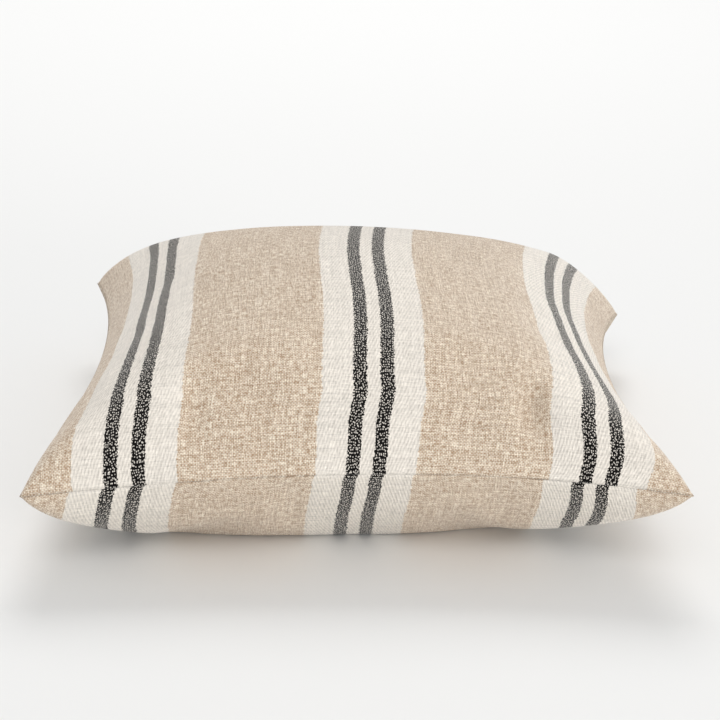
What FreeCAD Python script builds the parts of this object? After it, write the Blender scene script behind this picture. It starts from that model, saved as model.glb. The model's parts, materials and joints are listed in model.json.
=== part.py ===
"""Throw pillow: a zipped knife-edge cover of two striped panels round a filled insert.

Millimetres, +Z up. The pillow lies on its back panel with its centre over the origin. The seam between
the two panels lies in one level plane. Each of its four sides is an arc that pulls in between the corners,
and the zip runs in the arc at the back, +Y. A cross-section beside a seam is drawn by two measures: how far
inward a point lies from the seam line, and how far above or below the seam plane.
"""
import FreeCAD, Part
import math
import os

import Sketcher
from FreeCAD import Placement, Rotation, Vector

SIZES = [
    # alias, value, what it is
    ("cover_width", 490, "corner to corner along X, stuffed"),
    ("cover_depth", 490, "corner to corner along Y, stuffed"),
    ("side_inset", 28, "how far the middle of each side pulls in from its corners"),
    ("crown_height", 170, "floor to the top of the front panel"),
    ("seam_height", 68, "floor to the seam plane"),
    ("belly_depth", 105, "how deep the back panel would hang with no floor under it"),
    ("shoulder_angle", 61, "half angle of the arc that both panels' sections follow, in degrees"),
    ("cloth_thickness", 1.0, "cover cloth"),
    ("seam_allowance", 12, "turned-in cloth beside the seam line"),
    ("thread_thickness", 0.4, "sewing thread as it lies"),
    ("stitch_inset", 2.4, "seam line in to the lockstitch"),
    ("stitch_start", 36, "corner to the first stitch of a sewn side"),
    ("overlock_width", 3, "how far the overlock reaches over the allowance"),
    ("zip_opening", 360, "length of the opening along the back edge"),
    ("zip_slot", 1.4, "gap between the two cloth edges, for the slider's neck"),
    ("channel_clearance", 0.05, "above and below the allowances where the zip runs"),
    ("coil_setback", 5.3, "seam line to the middle of the coils"),
    ("coil_thickness", 1.3, "coil row, inward"),
    ("coil_width", 1.5, "coil row, up and down"),
    ("coil_gap", 1.2, "between the two rows, for the slider's divider"),
    ("tape_thickness", 0.5, "zip tape"),
    ("tape_upright", 2.0, "straight part of the tape beside its coil"),
    ("tape_rise", 8.0, "height of the tape's sloping part"),
    ("tape_run", 8.9, "inward reach of the tape's sloping part"),
    ("tape_tail", 6, "tape past either end of the opening"),
    ("slider_length", 9, "slider body along the zip"),
    ("slider_wall", 0.65, "slider's plates"),
    ("slider_lip", 1.0, "slider's side lips, up and down"),
    ("slider_clearance", 0.2, "between the slider and the coils and tapes"),
    ("neck_length", 6, "slider neck along the zip"),
    ("neck_thickness", 0.9, "slider neck, in the slot"),
    ("divider_length", 3, "slider divider along the zip"),
    ("pin_radius", 0.6, "pull tab's pin"),
    ("pin_clearance", 0.15, "round the pin, and beside the lug"),
    ("pin_standoff", 2.3, "seam line out to the pin"),
    ("lug_radius", 1.4, "slider lug that holds the pin"),
    ("web_clearance", 0.45, "lug to the web that joins the pull tab's arms"),
    ("tab_ear", 0.9, "width of each ear of the pull tab"),
    ("tab_length", 22, "pin to the round end of the pull tab"),
    ("tab_hole", 1.2, "radius of the hole in the round end"),
    ("tab_width", 6, "pull tab at its wide end"),
    ("tab_thickness", 0.9, "pull tab"),
    ("stop_length", 2, "each zip stop along the zip"),
    ("stop_grip", 0.26, "how far a stop stands past the coils, inward and outward"),
    ("stop_clearance", 0.3, "slider to stop at either end of its travel"),
    ("tack_length", 3, "bar tack at either end of the opening"),
    ("insert_clearance", 4, "raw edge of the allowance to the insert's edge"),
    ("insert_gap", 0.8, "cover cloth to the insert, over the crown"),
    ("lining_thickness", 0.5, "insert's cloth"),
    ("closing_stitches", 12, "hand stitches that close the insert"),
    ("closing_pitch", 9, "from one hand stitch to the next"),
    ("closing_height", 1.6, "each hand stitch, up and down"),
    ("label_width", 25, "blank labels"),
    ("label_drop", 20, "how far a label hangs"),
    ("label_thickness", 0.5, "folded label"),
    ("label_clearance", 1.0, "care label's lower end to the cloth beside it"),
]
CORNER_FULLNESS = 1.65  # 1 lifts the crown into its corners like a pyramid, and a larger value flattens them
FORM_STEPS = 8        # points of a panel's section from its middle to its edge, less one
CAVITY_SETBACK = 1.6  # inward shift of the cavity's edge, in cloth thicknesses, that keeps the wall even
CORNER_STEPS = 40     # each step brings the corner about ten times nearer

doc = FreeCAD.newDocument("ThrowPillow")


def make_sheet():
    """The driving dimensions, one to a row: what it is, then its value."""
    sheet = doc.addObject("Spreadsheet::Sheet", "Sizes")
    for row, (alias, value, meaning) in enumerate(SIZES, start=1):
        sheet.set(f"A{row}", meaning)
        sheet.set(f"B{row}", str(value))
        sheet.setAlias(f"B{row}", alias)
    doc.recompute()
    return sheet


sheet = make_sheet()


def size(alias):
    return float(sheet.get(alias))


def cell(text):
    """An expression in which each word that names a size stands for its cell."""
    names = {alias for alias, _, _ in SIZES}
    words, word = [], ""
    for letter in text + " ":
        if letter.isalnum() or letter == "_":
            word += letter
            continue
        words.append(f"Sizes.{word}" if word in names else word)
        words.append(letter)
        word = ""
    return "".join(words).strip()


# Each side is an arc about a far point straight out from its middle.
HALF_WIDTH = "(cover_width / 2)"
HALF_DEPTH = "(cover_depth / 2)"
BACK_MIDDLE = "(cover_depth / 2 - side_inset)"
SIDE_MIDDLE = "(cover_width / 2 - side_inset)"
BACK_RADIUS = "((cover_width ^ 2 / 4 + side_inset ^ 2) / (2 * side_inset))"
SIDE_RADIUS = "((cover_depth ^ 2 / 4 + side_inset ^ 2) / (2 * side_inset))"
FAR_POINT = f"({BACK_MIDDLE} + {BACK_RADIUS})"
OUTWARD_TURN = {"back": 0, "left": 90, "front": 180, "right": 270}
SIDE_ARC = {
    "back": (BACK_MIDDLE, BACK_RADIUS, HALF_WIDTH),
    "front": (BACK_MIDDLE, BACK_RADIUS, HALF_WIDTH),
    "left": (SIDE_MIDDLE, SIDE_RADIUS, HALF_DEPTH),
    "right": (SIDE_MIDDLE, SIDE_RADIUS, HALF_DEPTH),
}


# ---- soft forms: the crowned and pulled-in shape of the panels, the insert and the fill ----

def side_line(side, setback):
    """Where a side's middle lies and the radius of its arc, setback inside the seam line."""
    middle, radius, _ = SIDE_ARC[side]
    return number(middle) - setback, number(radius) + setback


def side_reach(side, setback, along):
    """How far out a side lies, at a distance along it from its middle."""
    middle, radius = side_line(side, setback)
    return middle + radius - math.sqrt(radius ** 2 - along ** 2)


def outline_corner(setback):
    """Where the arcs of two neighbouring sides meet, found by stepping from one arc to the other."""
    corner_x, corner_y = size("cover_width") / 2, size("cover_depth") / 2
    for _ in range(CORNER_STEPS):
        corner_x = side_reach("right", setback, corner_y)
        corner_y = side_reach("back", setback, corner_x)
    return corner_x, corner_y


def crown_share(rise_x, rise_y):
    """Height over a panel as a share of its middle: 0 along the sides, where it follows the nearer one."""
    if min(rise_x, rise_y) <= 0:
        return 0.0
    power = CORNER_FULLNESS
    return 2 ** (1 / power) * rise_x * rise_y / (rise_x ** power + rise_y ** power) ** (1 / power)


def form_grid(setback, base, bulge):
    """Rows of points over a panel: its sides lie setback inside the seam, its middle bulge above its base."""
    corner_x, corner_y = outline_corner(setback)
    shoulder = math.radians(size("shoulder_angle"))
    angles = [shoulder * step / FORM_STEPS for step in range(-FORM_STEPS, FORM_STEPS + 1)]
    across = [math.sin(angle) / math.sin(shoulder) for angle in angles]
    rise = [(math.cos(angle) - math.cos(shoulder)) / (1 - math.cos(shoulder)) for angle in angles]
    grid = []
    for share_x, rise_x in zip(across, rise):
        row = []
        for share_y, rise_y in zip(across, rise):
            x = share_x * side_reach("right", setback, share_y * corner_y)
            y = share_y * side_reach("back", setback, share_x * corner_x)
            row.append(Vector(x, y, base + bulge * crown_share(rise_x, rise_y)))
        grid.append(row)
    return grid


def curve_through(points):
    """A cubic curve through points, at even parameters, so that rows of the same length share their knots."""
    curve = Part.BSplineCurve()
    curve.interpolate(Points=points, Parameters=[float(i) for i in range(len(points))])
    return curve


def form_face(grid):
    rows = [curve_through(row) for row in grid]
    columns = [curve_through(list(poles)) for poles in zip(*[row.getPoles() for row in rows])]
    poles = [list(line) for line in zip(*[column.getPoles() for column in columns])]
    along, across = columns[0], rows[0]
    surface = Part.BSplineSurface()
    surface.buildFromPolesMultsKnots(
        poles, along.getMultiplicities(), across.getMultiplicities(), along.getKnots(), across.getKnots(),
        False, False, along.Degree, across.Degree)
    return surface.toShape()


def closed_solid(faces):
    shell = Part.makeShell(faces)
    shell.sewShape()
    return Part.makeSolid(Part.Shell(shell.Faces))


def half_form(setback, base, bulge):
    """One panel's side of the pillow as a closed solid: its crowned face and a flat lid at height base."""
    face = form_face(form_grid(setback, base, bulge))
    lid = Part.Face(Part.Wire(Part.__sortEdges__(face.Edges)))
    return closed_solid([face, lid])


def add_form(name, setback, base, bulge, floor=None):
    """A half form as a document object, cut flat where it would pass below the height floor."""
    shape = half_form(setback, base, bulge)
    if floor is not None:
        width, depth, belly = size("cover_width"), size("cover_depth"), size("belly_depth")
        below = Part.makeBox(2 * width, 2 * depth, belly)
        below.translate(Vector(-width, -depth, floor - belly))
        shape = shape.cut(below)
    feature = doc.addObject("Part::Feature", name)
    feature.Shape = shape
    return feature


def combine(kind, name, base, tool):
    """Part::Cut or Part::Fuse of two document objects."""
    result = doc.addObject(kind, name)
    result.Base = base
    result.Tool = tool
    result.Label = name
    return result


# ---- sketches and features ----

def new_body(name):
    body = doc.addObject("PartDesign::Body", name)
    body.Label = name
    return body


def origin_plane(body, role):
    return next(item for item in body.Origin.OriginFeatures if item.Role == role)


def new_sketch(body, name, role, height=None):
    """A sketch on one of the body's own planes, raised by the expression height."""
    sketch = body.newObject("Sketcher::SketchObject", name)
    sketch.AttachmentSupport = [(origin_plane(body, role), "")]
    sketch.MapMode = "FlatFace"
    if height:
        sketch.setExpression("AttachmentOffset.Base.z", cell(height))
    return sketch


def bind(sketch, index, expression):
    sketch.setExpression(f"Constraints[{index}]", cell(expression))


def hold_point(sketch, geometry, end, x, y):
    """Holds an end of a line, or a centre, at two expressions measured from the sketch's origin."""
    for kind, expression in (("DistanceX", x), ("DistanceY", y)):
        index = sketch.addConstraint(Sketcher.Constraint(kind, -1, 1, geometry, end, number(expression)))
        bind(sketch, index, expression)


def number(expression):
    return float(FreeCAD.Units.Quantity(str(sheet.evalExpression(cell(expression)))).Value)


def draw_polygon(sketch, corners):
    """A closed outline whose corners are pairs of expressions."""
    places = [Vector(number(x), number(y), 0) for x, y in corners]
    first = sketch.GeometryCount
    for start, end in zip(places, places[1:] + places[:1]):
        sketch.addGeometry(Part.LineSegment(start, end))
    for offset, (x, y) in enumerate(corners):
        hold_point(sketch, first + offset, 1, x, y)
        following = first + (offset + 1) % len(corners)
        sketch.addConstraint(Sketcher.Constraint("Coincident", first + offset, 2, following, 1))


def draw_circle(sketch, x, y, radius):
    circle = sketch.addGeometry(Part.Circle(Vector(number(x), number(y), 0), Vector(0, 0, 1), number(radius)))
    hold_point(sketch, circle, 3, x, y)
    bind(sketch, sketch.addConstraint(Sketcher.Constraint("Radius", circle, number(radius))), radius)


def pad(body, sketch, length, middle=True):
    feature = body.newObject("PartDesign::Pad", f"{sketch.Name}_pad")
    feature.Profile = sketch
    feature.Midplane = middle
    feature.setExpression("Length", cell(length))
    return feature


def pocket(body, sketch, length):
    feature = body.newObject("PartDesign::Pocket", f"{sketch.Name}_pocket")
    feature.Profile = sketch
    feature.Midplane = True
    feature.setExpression("Length", cell(length))
    return feature


def draw_outline(sketch, setback):
    """The pillow's four-sided outline, setback inside the seam line: four arcs that meet at the corners."""
    first = sketch.GeometryCount
    corner = outline_corner(number(setback))
    sides = [(0, 1, BACK_MIDDLE, BACK_RADIUS), (-1, 0, SIDE_MIDDLE, SIDE_RADIUS),
             (0, -1, BACK_MIDDLE, BACK_RADIUS), (1, 0, SIDE_MIDDLE, SIDE_RADIUS)]
    for offset, (out_x, out_y, middle, radius) in enumerate(sides):
        far = number(f"{middle} + {radius}")
        centre = Vector(out_x * far, out_y * far, 0)
        half_turn = math.asin((corner[0] if out_y else corner[1]) / number(radius))
        inward = math.atan2(-out_y, -out_x)
        circle = Part.Circle(centre, Vector(0, 0, 1), number(f"{radius} + ({setback})"))
        arc = sketch.addGeometry(Part.ArcOfCircle(circle, inward - half_turn, inward + half_turn))
        axis, kind, sign = (-2, "DistanceY", out_y) if out_y else (-1, "DistanceX", out_x)
        sketch.addConstraint(Sketcher.Constraint("PointOnObject", arc, 3, axis))
        centre_at = sketch.addConstraint(Sketcher.Constraint(kind, -1, 1, arc, 3, sign * far))
        bind(sketch, centre_at, f"{sign} * ({middle} + {radius})")
        bind(sketch, sketch.addConstraint(Sketcher.Constraint("Radius", arc, circle.Radius)),
             f"{radius} + ({setback})")
    for offset in range(4):
        following = first + (offset + 1) % 4
        sketch.addConstraint(Sketcher.Constraint("Coincident", first + offset, 1, following, 2))


def flat_plate(name, setbacks, bottom, thickness, middle=False):
    """A plate of the pillow's outline at one setback, or the flat band between two."""
    body = new_body(name)
    sketch = new_sketch(body, f"{name}_outline", "XY_Plane", bottom)
    for setback in setbacks:
        draw_outline(sketch, setback)
    pad(body, sketch, thickness, middle)
    return body


def along_turn(distance, radius=BACK_RADIUS):
    """The turn about a side's far point that moves a point on its seam line by a distance."""
    return f"(({distance}) / {radius} * 180 / pi)"


def edge_strip(name, side, corners, half_length):
    """A strip along one side: a cross-section of (inward, up) corners turned about the side's far point."""
    middle, radius, _ = SIDE_ARC[side]
    body = new_body(name)
    sketch = new_sketch(body, f"{name}_section", "YZ_Plane")
    far = f"{middle} + {radius}"
    axis = sketch.addGeometry(Part.LineSegment(Vector(number(far), 0, 0), Vector(number(far), 1, 0)), True)
    hold_point(sketch, axis, 1, far, "0")
    hold_point(sketch, axis, 2, far, "1")
    draw_polygon(sketch, [(f"{middle} - ({inward})", f"seam_height + ({up})") for inward, up in corners])
    turn = body.newObject("PartDesign::Revolution", f"{name}_turn")
    turn.Profile = sketch
    turn.ReferenceAxis = (sketch, ["Axis0"])
    turn.Midplane = True
    turn.setExpression("Angle", cell(f"2 * {along_turn(half_length, radius)}"))
    body.Placement = Placement(Vector(), Rotation(Vector(0, 0, 1), OUTWARD_TURN[side]))
    return body


def move_along_zip(body, distance):
    """Places what was drawn at the middle of the back edge a distance along it, towards +X."""
    turn = along_turn(distance)
    body.setExpression("Placement.Rotation.Angle", cell(turn))
    body.setExpression("Placement.Base.x", cell(f"{FAR_POINT} * sin({turn} * 1 deg)"))
    body.setExpression("Placement.Base.y", cell(f"{FAR_POINT} * (1 - cos({turn} * 1 deg))"))
    return body


def box_section(inward_low, inward_high, up_low, up_high):
    return [(inward_low, up_low), (inward_high, up_low), (inward_high, up_high), (inward_low, up_high)]


def mirrored(corners):
    """The same cross-section below the seam plane."""
    return [(inward, f"-({up})") for inward, up in corners]


# ---- cover ----

SEAM = size("seam_height")
CROWN = size("crown_height")
CAVITY_EDGE = CAVITY_SETBACK * size("cloth_thickness")


def cover_panels(channel):
    """Front and back panel: a wall with its seam allowance turned in, open where the zip runs."""
    cloth = size("cloth_thickness")
    low = SEAM - size("belly_depth")
    forms = {
        "front": (add_form("front_form", 0, SEAM, CROWN - SEAM),
                  add_form("front_cavity", CAVITY_EDGE, SEAM + cloth, CROWN - SEAM - 2 * cloth)),
        "back": (add_form("back_form", 0, SEAM, low - SEAM, 0),
                 add_form("back_cavity", CAVITY_EDGE, SEAM - cloth, low - SEAM + 2 * cloth, cloth)),
    }
    # the turned-in cloth ends at the allowance: inside it the seam plane is cut open, past both lids
    mouth = flat_plate("mouth", ["seam_allowance"], "seam_height", "4 * cloth_thickness", middle=True)
    panels = []
    for side, (form, cavity) in forms.items():
        wall = combine("Part::Cut", f"{side}_wall", form, cavity)
        open_wall = combine("Part::Cut", f"{side}_open_wall", wall, mouth)
        panels.append(combine("Part::Cut", f"cover_{side}_panel", open_wall, channel))
    return panels


def zip_channel():
    """What the zip needs free: the slot between the cloth edges, and the allowances behind it."""
    slot = "zip_slot / 2"
    depth = "2 * cloth_thickness"
    room = "(cloth_thickness + channel_clearance)"
    end = "seam_allowance + cloth_thickness"
    upper = [(end, room), (depth, room), (depth, slot), ("-cloth_thickness", slot)]
    corners = mirrored(upper)[::-1] + upper
    return edge_strip("zip_channel", "back", corners, "zip_opening / 2")


def seam_threads():
    """Lockstitch and overlock on the three sewn sides."""
    nodes = []
    stitch = box_section("stitch_inset", "stitch_inset + thread_thickness",
                         "cloth_thickness", "cloth_thickness + thread_thickness")
    near = "seam_allowance - overlock_width"
    far = "seam_allowance + thread_thickness"
    over = "cloth_thickness + thread_thickness"
    upper = [("seam_allowance", "cloth_thickness"), (near, "cloth_thickness"), (near, over), (far, over)]
    wrap = upper + mirrored(upper)[::-1]
    for side in ("front", "left", "right"):
        reach = f"({SIDE_ARC[side][2]} - stitch_start)"
        nodes.append(edge_strip(f"seam_thread_{side}", side, stitch, reach))
        nodes.append(edge_strip(f"overlock_thread_{side}", side, wrap, reach))
    return nodes


# ---- zip ----

COIL_OUTER = "(coil_gap / 2 + coil_width)"
CHAIN_HALF = "(zip_opening / 2 - tack_length - stop_length)"
SLIDER_AT = f"({CHAIN_HALF} - stop_clearance - slider_length / 2)"
TAPE_TOP = f"({COIL_OUTER} + tape_upright + tape_rise)"
TAPE_BEND = f"({COIL_OUTER} + tape_upright)"
TAPE_END = "(coil_setback + tape_run)"
STOP_OUT = "(coil_setback - coil_thickness / 2 - stop_grip)"
STOP_IN = "(coil_setback + coil_thickness / 2 + stop_grip)"


def tape_section():
    half = "tape_thickness / 2"
    return [(f"coil_setback - {half}", COIL_OUTER), (f"coil_setback - {half}", TAPE_BEND),
            (f"{TAPE_END} - {half}", TAPE_TOP), (f"{TAPE_END} + {half}", TAPE_TOP),
            (f"coil_setback + {half}", TAPE_BEND), (f"coil_setback + {half}", COIL_OUTER)]


def tape_thread_section():
    """A stitch line on the tape's outward side, half way up its slope."""
    face = "coil_setback + tape_run / 2 - tape_thickness / 2"
    up = f"{COIL_OUTER} + tape_upright + tape_rise / 2"
    lean = "thread_thickness / 2 * tape_run / tape_rise"
    return [(f"{face} - {lean}", f"{up} - thread_thickness / 2"),
            (f"{face} + {lean}", f"{up} + thread_thickness / 2"),
            (f"{face} + {lean} - thread_thickness", f"{up} + thread_thickness / 2"),
            (f"{face} - {lean} - thread_thickness", f"{up} - thread_thickness / 2")]


def zip_chain():
    """Tapes, coils, their stitching and stops, above and below the seam plane."""
    nodes = []
    coil = box_section("coil_setback - coil_thickness / 2", "coil_setback + coil_thickness / 2",
                       "coil_gap / 2", COIL_OUTER)
    stop = box_section(STOP_OUT, STOP_IN, "coil_gap / 2", COIL_OUTER)
    tape_half = "zip_opening / 2 + tape_tail"
    for level, shape in (("upper", list), ("lower", mirrored)):
        nodes.append(edge_strip(f"zip_tape_{level}", "back", shape(tape_section()), tape_half))
        nodes.append(edge_strip(f"zip_coil_{level}", "back", shape(coil), CHAIN_HALF))
        nodes.append(edge_strip(f"zip_stitching_{level}", "back", shape(tape_thread_section()), tape_half))
        top_stop = edge_strip(f"zip_top_stop_{level}", "back", shape(stop), "stop_length / 2")
        nodes.append(move_along_zip(top_stop, f"{CHAIN_HALF} + stop_length / 2"))
    across = box_section(STOP_OUT, STOP_IN, f"-{COIL_OUTER}", COIL_OUTER)
    bottom_stop = edge_strip("zip_bottom_stop", "back", across, "stop_length / 2")
    nodes.append(move_along_zip(bottom_stop, f"-({CHAIN_HALF} + stop_length / 2)"))
    return nodes


def bar_tacks():
    """Thread bars that close the slot at both ends of the opening, one node of two solids."""
    tacks = []
    section = box_section("0", "cloth_thickness", "-zip_slot / 2", "zip_slot / 2")
    for name, sign in (("tack_left", "-"), ("tack_right", "")):
        tack = edge_strip(name, "back", section, "tack_length / 2")
        tacks.append(move_along_zip(tack, f"{sign}(zip_opening / 2 - tack_length / 2)"))
    group = doc.addObject("Part::Compound", "zip_bar_tacks")
    group.Links = tacks
    return group


def slider_body():
    """Two plates joined by the divider between the coils, a neck through the slot, and the pin's lug."""
    body = new_body("zip_slider_body")
    reach = "coil_thickness / 2 + slider_clearance"
    half_height = f"({COIL_OUTER} + slider_clearance + slider_lip)"
    lip = f"({COIL_OUTER} + slider_clearance)"
    tape_room = "(tape_thickness / 2 + slider_clearance)"
    divider_half = "(coil_gap / 2 - slider_clearance)"
    outer_face = f"(coil_setback - {reach} - slider_wall)"
    inner_face = f"(coil_setback + {reach} + slider_wall)"

    def section(name, corners, length):
        sketch = new_sketch(body, name, "YZ_Plane")
        draw_polygon(sketch, [(f"{BACK_MIDDLE} - ({inward})", f"seam_height + ({up})")
                              for inward, up in corners])
        pad(body, sketch, length)

    section("divider", box_section(outer_face, inner_face, f"-{divider_half}", divider_half),
            "divider_length")
    for name, side, face in (("outer_plate", "-", outer_face), ("inner_plate", "+", inner_face)):
        web = f"coil_setback {side} ({reach})"
        mouth = f"coil_setback {side} {tape_room}"
        upper = [(face, half_height), (mouth, half_height), (mouth, lip), (web, lip)]
        section(name, upper + mirrored(upper)[::-1], "slider_length")
    # the neck stops half way from the seam to the tab, and the narrower stem reaches on to the pin
    neck_end = "-(pin_standoff - tab_thickness / 2) / 2"
    root = f"{outer_face} + slider_wall / 2"
    half_neck = "neck_thickness / 2"
    section("neck", box_section(neck_end, root, f"-{half_neck}", half_neck), "neck_length")
    section("stem", box_section("-pin_standoff", root, f"-{half_neck}", half_neck), "2 * lug_radius")
    lug = new_sketch(body, "lug", "XY_Plane", "seam_height")
    draw_circle(lug, "0", f"{BACK_MIDDLE} + pin_standoff", "lug_radius")
    pad(body, lug, "neck_thickness")
    doc.recompute()
    hole = new_sketch(body, "pin_hole", "XY_Plane", "seam_height")
    draw_circle(hole, "0", f"{BACK_MIDDLE} + pin_standoff", "pin_radius + pin_clearance")
    pocket(body, hole, "2 * neck_thickness")
    return move_along_zip(body, SLIDER_AT)


def pull_tab():
    """A round-ended tab with a pin between its ears; at rest it points along the zip to -X."""
    body = new_body("zip_pull_tab")
    pin_out = f"{BACK_MIDDLE} + pin_standoff"
    ear_in = "(neck_thickness / 2 + pin_clearance)"
    ear_out = f"({ear_in} + tab_ear)"
    ears = new_sketch(body, "ears", "XY_Plane", "seam_height")
    draw_circle(ears, "0", pin_out, "lug_radius - pin_clearance")
    pad(body, ears, f"2 * {ear_out}")
    doc.recompute()
    between = new_sketch(body, "between_ears", "XY_Plane", "seam_height")
    draw_circle(between, "0", pin_out, "2 * lug_radius")
    draw_circle(between, "0", pin_out, "pin_radius")
    pocket(body, between, f"2 * {ear_in}")
    doc.recompute()
    plate = new_sketch(body, "plate", "XZ_Plane", f"-({pin_out})")
    round_at = "-(tab_length - tab_width / 2)"
    web = "-(lug_radius + web_clearance)"
    draw_tab_outline(plate, round_at, web, ear_in, ear_out)
    draw_circle(plate, round_at, "seam_height", "tab_hole")
    pad(body, plate, "tab_thickness")
    return move_along_zip(body, SLIDER_AT)


def draw_tab_outline(sketch, round_at, web, ear_in, ear_out):
    """Two arms beside the lug, one web behind it, sides that widen, and a half-round end."""
    half = "tab_width / 2"
    corners = [(round_at, f"-{half}"), ("0", f"-{ear_out}"), ("0", f"-{ear_in}"), (web, f"-{ear_in}"),
               (web, ear_in), ("0", ear_in), ("0", ear_out), (round_at, half)]
    level = [(x, f"seam_height + ({up})") for x, up in corners]
    places = [Vector(number(x), number(y), 0) for x, y in level]
    for start, end in zip(places, places[1:]):
        sketch.addGeometry(Part.LineSegment(start, end))
    centre = Vector(number(round_at), number("seam_height"), 0)
    circle = Part.Circle(centre, Vector(0, 0, 1), number(half))
    arc = sketch.addGeometry(Part.ArcOfCircle(circle, math.pi / 2, 3 * math.pi / 2))
    last = len(places) - 2
    for index in range(last + 1):
        hold_point(sketch, index, 1, *level[index])
    hold_point(sketch, last, 2, *level[-1])
    centre_at = sketch.addConstraint(Sketcher.Constraint("DistanceX", -1, 1, arc, 3, centre.x))
    bind(sketch, centre_at, round_at)
    for index in range(last):
        sketch.addConstraint(Sketcher.Constraint("Coincident", index, 2, index + 1, 1))
    sketch.addConstraint(Sketcher.Constraint("Coincident", last, 2, arc, 1))
    sketch.addConstraint(Sketcher.Constraint("Coincident", arc, 2, 0, 1))


# ---- insert ----

INSERT_EDGE = "(seam_allowance + insert_clearance)"


def insert_parts():
    """Two lining panels round one block of fill, and the thread round their seam."""
    edge = number(INSERT_EDGE)
    gap = size("cloth_thickness") + size("insert_gap")
    lining = size("lining_thickness")
    fill_edge = edge + CAVITY_SETBACK * lining
    top = CROWN - SEAM - gap
    belly = gap - size("belly_depth")
    front = combine("Part::Cut", "insert_front_panel", add_form("insert_front_form", edge, SEAM, top),
                    add_form("fill_front_room", fill_edge, SEAM, top - lining))
    back = combine("Part::Cut", "insert_back_panel", add_form("insert_back_form", edge, SEAM, belly, gap),
                   add_form("fill_back_room", fill_edge, SEAM, belly + lining, gap + lining))
    fill = combine("Part::Fuse", "insert_fill", add_form("fill_front", fill_edge, SEAM, top - lining),
                   add_form("fill_back", fill_edge, SEAM, belly + lining, gap + lining))
    band = [f"{INSERT_EDGE} - thread_thickness", INSERT_EDGE]
    thread = flat_plate("insert_seam_thread", band, "seam_height", "thread_thickness", middle=True)
    return [front, back, fill, thread]


def closing_stitches():
    """Separate hand stitches in a row outside the front of the insert's seam."""
    stitches = []
    count = int(size("closing_stitches"))
    for index in range(count):
        shift = index - (count - 1) / 2
        inward = f"{INSERT_EDGE} - thread_thickness"
        section = box_section(f"{inward} - thread_thickness", inward,
                              "-closing_height / 2", "closing_height / 2")
        stitch = edge_strip(f"hand_stitch_{index + 1}", "front", section, "thread_thickness")
        turn = along_turn(f"{shift} * closing_pitch")
        stitch.setExpression("Placement.Rotation.Angle", cell(f"180 + {turn}"))
        stitch.setExpression("Placement.Base.x", cell(f"-{FAR_POINT} * sin({turn} * 1 deg)"))
        stitch.setExpression("Placement.Base.y", cell(f"-{FAR_POINT} * (1 - cos({turn} * 1 deg))"))
        stitches.append(stitch)
    group = doc.addObject("Part::Compound", "insert_closing_stitches")
    group.Links = stitches
    return group


def hanging_label(name, side, near, hang, top):
    """A blank label: a flap under the seam and the part that hangs from its inner end."""
    under = f"{top} - label_thickness"
    low = f"{under} - label_drop"
    outer = f"{hang} - label_thickness"
    corners = [(near, top), (near, under), (outer, under), (outer, low), (hang, low), (hang, top)]
    return edge_strip(name, side, corners, "label_width / 2")


def cavity_reach(depth):
    """How far inside the seam, at the left side's middle, the cover's cavity is a depth below the seam."""
    cloth = size("cloth_thickness")
    share = ((depth - cloth) / (size("belly_depth") - 2 * cloth)) ** CORNER_FULLNESS
    rise = (share / (2 - share)) ** (1 / CORNER_FULLNESS)
    shoulder = math.radians(size("shoulder_angle"))
    angle = math.acos(math.cos(shoulder) + rise * (1 - math.cos(shoulder)))
    return number(SIDE_MIDDLE) - side_reach("left", CAVITY_EDGE, 0) * math.sin(angle) / math.sin(shoulder)


def labels():
    overlock_bottom = "-(cloth_thickness + thread_thickness)"
    lower_end = number("cloth_thickness + thread_thickness + label_thickness + label_drop")
    care = hanging_label("care_label", "left", "seam_allowance - overlock_width",
                         f"{cavity_reach(lower_end)} + label_clearance + label_thickness", overlock_bottom)
    law = hanging_label("insert_label", "right", f"{INSERT_EDGE} - 2 * thread_thickness - label_thickness",
                        f"{INSERT_EDGE} - thread_thickness", "-thread_thickness / 2")
    return [care, law]


# ---- build and write ----

nodes = cover_panels(zip_channel())
nodes += seam_threads()
nodes += zip_chain()
nodes += [bar_tacks(), slider_body(), pull_tab()]
nodes += insert_parts()
nodes += [closing_stitches()]
nodes += labels()
doc.recompute()

for item in doc.Objects:
    broken = {"Invalid", "Error"} & set(item.State)
    if broken:
        raise RuntimeError(f"{item.Name} failed to build: {sorted(broken)}")
os.makedirs("parts", exist_ok=True)
for node in nodes:
    if node.Shape.isNull() or not node.Shape.isValid() or not node.Shape.Solids:
        raise RuntimeError(f"{node.Label} is not a valid solid")
for node in nodes:
    node.Shape.exportStep(f"parts/{node.Label}.step")
    print(f"{node.Label}: {len(node.Shape.Solids)} solid(s), {node.Shape.Volume:.1f} mm3")
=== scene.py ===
import json
import math

import bpy
import numpy as np
from mathutils import Matrix, Vector


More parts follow.
